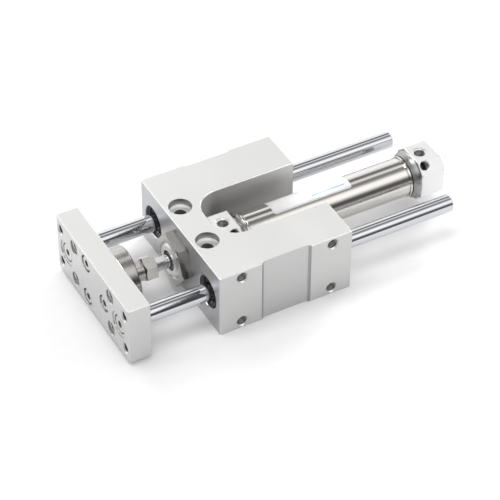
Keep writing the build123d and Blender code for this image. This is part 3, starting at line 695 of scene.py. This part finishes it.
def plastic(name, light, dark, roughness):
    """Moulded polymer with a fine mould grain."""
    material, tree, shader = new_finish(name, Metallic=0.0)
    grain = noise(tree, place_on_part(tree), POLYMER_GRAIN, detail=3.0)
    tree.links.new(mix_tone(tree, spread(tree, grain, 0.0, 1.0), dark, light), shader.inputs["Base Color"])
    worn = spread(tree, grain, *[share * roughness for share in POLYMER_SHARES])
    tree.links.new(worn, shader.inputs["Roughness"])
    relief(tree, shader, grain, POLYMER_MARKS, POLYMER_DEPTH)
    return material


bearing = turned_metal(
    "bearing_steel", light=(0.56, 0.56, 0.565), dark=(0.52, 0.52, 0.525),
    roughness=0.18, marks=0.06, half_spacing=GUIDE_Y,
)
spring = turned_metal(
    "spring_steel", light=(0.50, 0.495, 0.50), dark=(0.44, 0.435, 0.44),
    roughness=0.20, marks=0.04, half_spacing=GUIDE_Y,
)
cage = plastic("cage_plastic", light=(0.62, 0.60, 0.54), dark=(0.56, 0.54, 0.48), roughness=0.45)
rubber = plastic("seal_rubber", light=(0.030, 0.030, 0.032), dark=(0.018, 0.018, 0.020), roughness=0.55)
for arm_side in ("left", "right"):
    for end in ("front", "rear"):
        dress(bearing, f"bearing_sleeve_{end}_{arm_side}", f"bearing_balls_{end}_{arm_side}")
        dress(cage, f"bearing_cage_{end}_{arm_side}")
        dress(rubber, f"bearing_seals_{end}_{arm_side}")
dress(spring, "retaining_rings")

# Seals, bush and magnet of the cylinder
# Rubber rings and lips, a moulded wear ring, polyurethane wiper and bumpers,
# a sintered bronze bush and a ferrite ring magnet.
wiper = plastic("wiper_polyurethane", light=(0.200, 0.195, 0.190), dark=(0.150, 0.146, 0.142), roughness=0.42)
ferrite = plastic("magnet_ferrite", light=(0.060, 0.056, 0.054), dark=(0.035, 0.032, 0.031), roughness=0.60)
bronze = turned_metal(
    "bush_bronze", light=(0.72, 0.50, 0.28), dark=(0.62, 0.42, 0.23), roughness=0.34, marks=0.12,
)
dress(cage, "piston_wear_ring")
dress(rubber, "front_o_ring", "rear_o_ring", "rod_seal", "piston_seal_front", "piston_seal_rear")
dress(wiper, "rod_wiper", "front_bumper", "rear_bumper")
dress(ferrite, "piston_magnet")
dress(bronze, "rod_bush")

# Label
# White polyester film stuck round the tube. It is left bare but for one thin
# printed rule.
LABEL_START = 0.0378
LABEL_END = 0.0770
LABEL_LOW = math.radians(36)
LABEL_HIGH = math.radians(116)
LABEL_CORNER = 0.0011
LABEL_ROWS = 41
FILM = 0.00006
GLUE = 0.000005
TUBE_RADIUS = 0.0091
FILM_WHITE = (0.86, 0.86, 0.86)
FILM_SHADE = [tone * 0.985 for tone in FILM_WHITE]
FILM_ROUGHNESS = (0.30, 0.38)
FLECK_SCALE = 700.0
WRINKLE_SCALE = 260.0
WRINKLE_STRENGTH = 0.06
WRINKLE_DEPTH = 0.00002
RULE_BLUE = (0.20, 0.46, 0.66)
RULE_ANGLE = math.radians(98.0)
RULE_HALF = math.radians(1.7)
RULE_START = 0.058
RULE_END = 0.0745


def solid_mesh(name, points, faces):
    """Smooth object from points and faces, at the origin, with its faces turned outward."""
    mesh = bpy.data.meshes.new(name)
    mesh.from_pydata(points, [], faces)
    work = bmesh.new()
    work.from_mesh(mesh)
    bmesh.ops.recalc_face_normals(work, faces=work.faces)
    work.to_mesh(mesh)
    work.free()
    mesh.shade_smooth()
    return put(name, mesh)


arc = LABEL_HIGH - LABEL_LOW
points = []
for radius in (TUBE_RADIUS + FILM, TUBE_RADIUS + GLUE):
    for row in range(LABEL_ROWS):
        share = 0.5 - 0.5 * math.cos(math.pi * row / (LABEL_ROWS - 1))
        turn_at = LABEL_LOW + arc * share
        from_edge = min(share, 1 - share) * arc * TUBE_RADIUS
        short = max(0.0, LABEL_CORNER - from_edge)
        inset = LABEL_CORNER - math.sqrt(LABEL_CORNER ** 2 - short ** 2)
        for along in (LABEL_START + inset, LABEL_END - inset):
            points.append((along, radius * math.cos(turn_at), AXIS_Z + radius * math.sin(turn_at)))
inner = 2 * LABEL_ROWS
faces = []
for row in range(LABEL_ROWS - 1):
    a = 2 * row
    faces.append((a, a + 1, a + 3, a + 2))
    faces.append((inner + a, inner + a + 2, inner + a + 3, inner + a + 1))
    faces.append((a, a + 2, inner + a + 2, inner + a))
    faces.append((a + 1, inner + a + 1, inner + a + 3, a + 3))
last = 2 * (LABEL_ROWS - 1)
faces.append((0, inner, inner + 1, 1))
faces.append((last, last + 1, inner + last + 1, inner + last))
label = solid_mesh("tube_label", points, faces)

film, tree, shader = new_finish("label_film", Metallic=0.0)
place = place_on_part(tree)
along, side, high = xyz(tree, place)
turned_by = number(tree, "ARCTAN2", number(tree, "SUBTRACT", high, AXIS_Z), side)
printed = all_of(
    tree,
    close_to(tree, turned_by, RULE_ANGLE, RULE_HALF),
    over(tree, along, RULE_START),
    under(tree, along, RULE_END),
)
fleck = noise(tree, place, FLECK_SCALE, detail=3.0)
white = mix_tone(tree, fleck, FILM_SHADE, FILM_WHITE)
tree.links.new(mix_tone(tree, printed, white, RULE_BLUE), shader.inputs["Base Color"])
tree.links.new(spread(tree, fleck, *FILM_ROUGHNESS), shader.inputs["Roughness"])
wrinkle = noise(tree, place, WRINKLE_SCALE, detail=2.0)
relief(tree, shader, wrinkle, WRINKLE_STRENGTH, WRINKLE_DEPTH)
label.data.materials.append(film)
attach(label, "cylinder_body")

# Tapped threads
# The holes are drilled and tapped. A fine ridge winds down each wall. The
# ridges of the small holes are painted dark, a painted shade; those of the wide
# inner holes of the plate are painted lighter, for the light that reaches in.
RIDGE_SEGMENTS = 20
RIDGE_SIDES = 4
M5_RIDGE = 0.00212
M5_PITCH = 0.0008
M8_RIDGE = 0.00342
M8_PITCH = 0.00125
SIDE_MOUTH = 0.03595
SIDE_MOUTHS_X = (0.0038, 0.0478)
SIDE_MOUTHS_Z = (0.00375, 0.02875)
PORT_MOUTHS_X = (0.0141, 0.1144)
PORT_MOUTH_Z = 0.02595
BEVEL_MOUTHS_X = (0.0160, 0.1125)
BEVEL_MOUTH_Y = -0.00730
BEVEL_MOUTH_Z = 0.025114
CORNER_MOUTH_X = -0.0480
INNER_MOUTH_X = -0.0484


def thread_ridge():
    """Node tree that winds one ridge down every hole of a mesh of hole mouths."""
    tree = bpy.data.node_groups.new("thread_ridge", "GeometryNodeTree")
    sockets = {}
    for name, low, high in (
        ("Radius", 0.0005, 0.01),
        ("Pitch", 0.0002, 0.003),
        ("Turns", 1.0, 40.0),
        ("Ridge", 0.00005, 0.002),
    ):
        socket = tree.interface.new_socket(name=name, in_out="INPUT", socket_type="NodeSocketFloat")
        socket.min_value = low
        socket.max_value = high
        sockets[name] = socket.identifier
    mouths = tree.interface.new_socket(name="Mouths", in_out="INPUT", socket_type="NodeSocketGeometry")
    metal_socket = tree.interface.new_socket(name="Metal", in_out="INPUT", socket_type="NodeSocketMaterial")
    sockets["Metal"] = metal_socket.identifier
    tree.interface.move(mouths, 0)
    tree.interface.new_socket(name="Ridges", in_out="OUTPUT", socket_type="NodeSocketGeometry")
    given = tree.nodes.new("NodeGroupInput").outputs
    winding = {
        "Resolution": RIDGE_SEGMENTS,
        "Rotations": given["Turns"],
        "Start Radius": given["Radius"],
        "End Radius": given["Radius"],
        "Height": number(tree, "MULTIPLY", given["Pitch"], given["Turns"]),
    }
    spiral = shader_node(tree, "GeometryNodeCurveSpiral", inputs=winding).outputs[0]
    upright = shader_node(tree, "GeometryNodeSetCurveNormal", mode="Z_UP", inputs={"Curve": spiral})
    rim = {"Resolution": RIDGE_SIDES, "Radius": given["Ridge"]}
    section = shader_node(tree, "GeometryNodeCurvePrimitiveCircle", mode="RADIUS", inputs=rim)
    swept = {"Curve": upright.outputs[0], "Profile Curve": section.outputs[0], "Fill Caps": True}
    ridge = shader_node(tree, "GeometryNodeCurveToMesh", inputs=swept).outputs[0]
    facets = {"Geometry": ridge, "Shade Smooth": False}
    flat = shader_node(tree, "GeometryNodeSetShadeSmooth", inputs=facets).outputs[0]
    down = shader_node(
        tree, "GeometryNodeInputNamedAttribute", data_type="FLOAT_VECTOR", inputs={"Name": "down"},
    ).outputs[0]
    stand = shader_node(
        tree, "FunctionNodeAlignRotationToVector", axis="Z", inputs={"Vector": down},
    ).outputs[0]
    copied = {"Points": given["Mouths"], "Instance": flat, "Rotation": stand}
    copies = shader_node(tree, "GeometryNodeInstanceOnPoints", inputs=copied).outputs[0]
    real = shader_node(tree, "GeometryNodeRealizeInstances", inputs={"Geometry": copies}).outputs[0]
    coat = {"Geometry": real, "Material": given["Metal"]}
    clad = shader_node(tree, "GeometryNodeSetMaterial", inputs=coat).outputs[0]
    shader_node(tree, "NodeGroupOutput", inputs={0: clad})
    return tree, sockets


ridge_tree, ridge_sockets = thread_ridge()
# Ridge colours: painted shade in the small holes, painted lighter for the light in the wide ones.
tapped = turned_metal(
    "tapped_metal_painted_shade", light=(0.30, 0.30, 0.30), dark=(0.24, 0.24, 0.24), roughness=0.30, marks=0.05,
)
large_tapped = turned_metal(
    "large_tapped_metal", light=(0.66, 0.66, 0.66), dark=(0.58, 0.58, 0.58), roughness=0.35, marks=0.05,
)


def thread_set(name, body, holes, cut_metal, **sizes):
    """Ridges for holes given as (mouth, way down); becomes one plain mesh that rides with body."""
    mouths = bpy.data.meshes.new(name + "_mouths")
    mouths.from_pydata([mouth for mouth, way_down in holes], [], [])
    down = mouths.attributes.new("down", "FLOAT_VECTOR", "POINT")
    for entry, (mouth, way_down) in zip(down.data, holes):
        entry.vector = way_down
    seed = put(name + "_mouths", mouths)
    wind = seed.modifiers.new("thread_ridge", "NODES")
    wind.node_group = ridge_tree
    for socket, value in sizes.items():
        wind[ridge_sockets[socket]] = value
    wind[ridge_sockets["Metal"]] = cut_metal
    view = bpy.context.evaluated_depsgraph_get()
    mesh = bpy.data.meshes.new_from_object(seed.evaluated_get(view), depsgraph=view)
    mesh.name = name
    bpy.data.objects.remove(seed)
    piece = put(name, mesh)
    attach(piece, body)


side_holes = []
for sign in (1, -1):
    for along in SIDE_MOUTHS_X:
        for high in SIDE_MOUTHS_Z:
            side_holes.append(((along, sign * SIDE_MOUTH, high), (0, -sign, 0)))
thread_set(
    "side_threads", "cylinder_body", side_holes, tapped,
    Radius=M5_RIDGE, Pitch=M5_PITCH, Turns=10.5, Ridge=0.00030,
)

cover_holes = []
for along in PORT_MOUTHS_X:
    cover_holes.append(((along, 0, PORT_MOUTH_Z), (0, 0, -1)))
for along in BEVEL_MOUTHS_X:
    cover_holes.append(((along, BEVEL_MOUTH_Y, BEVEL_MOUTH_Z), (0, DIAGONAL, -DIAGONAL)))
thread_set(
    "cover_threads", "cylinder_body", cover_holes, tapped,
    Radius=M5_RIDGE, Pitch=M5_PITCH, Turns=4.2, Ridge=0.00028,
)

corner_holes = []
inner_holes = []
for across in (-1, 1):
    for rise in (-PLATE_HOLES_HALF_Z, PLATE_HOLES_HALF_Z):
        corner_holes.append(((CORNER_MOUTH_X, across * CORNER_HOLE_Y, AXIS_Z + rise), (1, 0, 0)))
        inner_holes.append(((INNER_MOUTH_X, across * INNER_HOLE_Y, AXIS_Z + rise), (1, 0, 0)))
thread_set(
    "plate_corner_threads", "carriage", corner_holes, tapped,
    Radius=M5_RIDGE, Pitch=M5_PITCH, Turns=10.5, Ridge=0.00030,
)
thread_set(
    "plate_inner_threads", "carriage", inner_holes, large_tapped,
    Radius=M8_RIDGE, Pitch=M8_PITCH, Turns=7.3, Ridge=0.00042,
)
